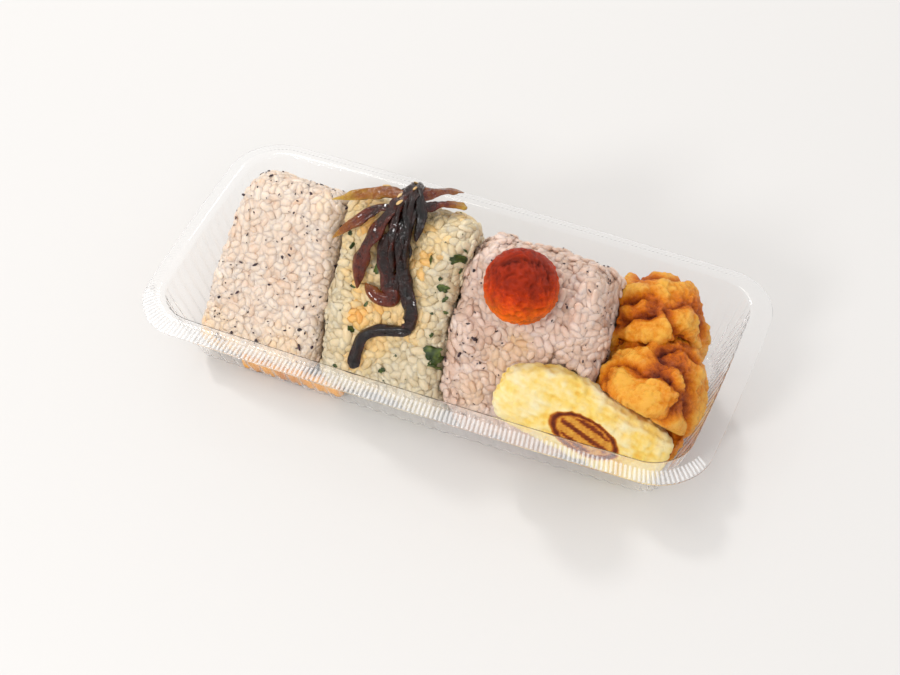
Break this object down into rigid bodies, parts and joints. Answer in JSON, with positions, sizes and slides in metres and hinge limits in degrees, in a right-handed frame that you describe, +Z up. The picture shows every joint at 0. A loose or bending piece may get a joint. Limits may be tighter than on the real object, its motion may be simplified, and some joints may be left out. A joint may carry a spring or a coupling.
{
  "type": "bento box meal",
  "caption": "Packed meal in a clear tray: standing rice balls topped with simmered kelp and a pickled plum, a slab of rolled omelette and fried chicken.",
  "frame": {"origin": "under the middle of the tray, on the face it rests on", "axes": "+X along the tray, from the rice end to the chicken end; +Y to the back; +Z up"},
  "size_m": [0.21, 0.106, 0.0726],
  "materials": {
    "clear_plastic": "thin clear moulded plastic, glossy",
    "rice_speckled": "moist cooked grains, satin, faintly pink with dark specks",
    "rice_green": "moist cooked grains, satin, faintly green with leaf flakes",
    "kelp": "wet dark brown strips with a sticky glaze",
    "plum_skin": "moist wrinkled skin, satin to glossy",
    "egg": "soft cooked egg, satin",
    "fried_crust": "craggy golden fried crust with an oily sheen"
  },
  "bodies": {
    "root": {"tray": "clear_plastic", "rice_left": "rice_speckled", "rice_middle": "rice_green", "rice_right": "rice_speckled", "kelp_topping": "kelp", "pickled_plum": "plum_skin", "omelette": "egg", "chicken_back": "fried_crust", "chicken_front": "fried_crust"}
  },
  "joints": []
}
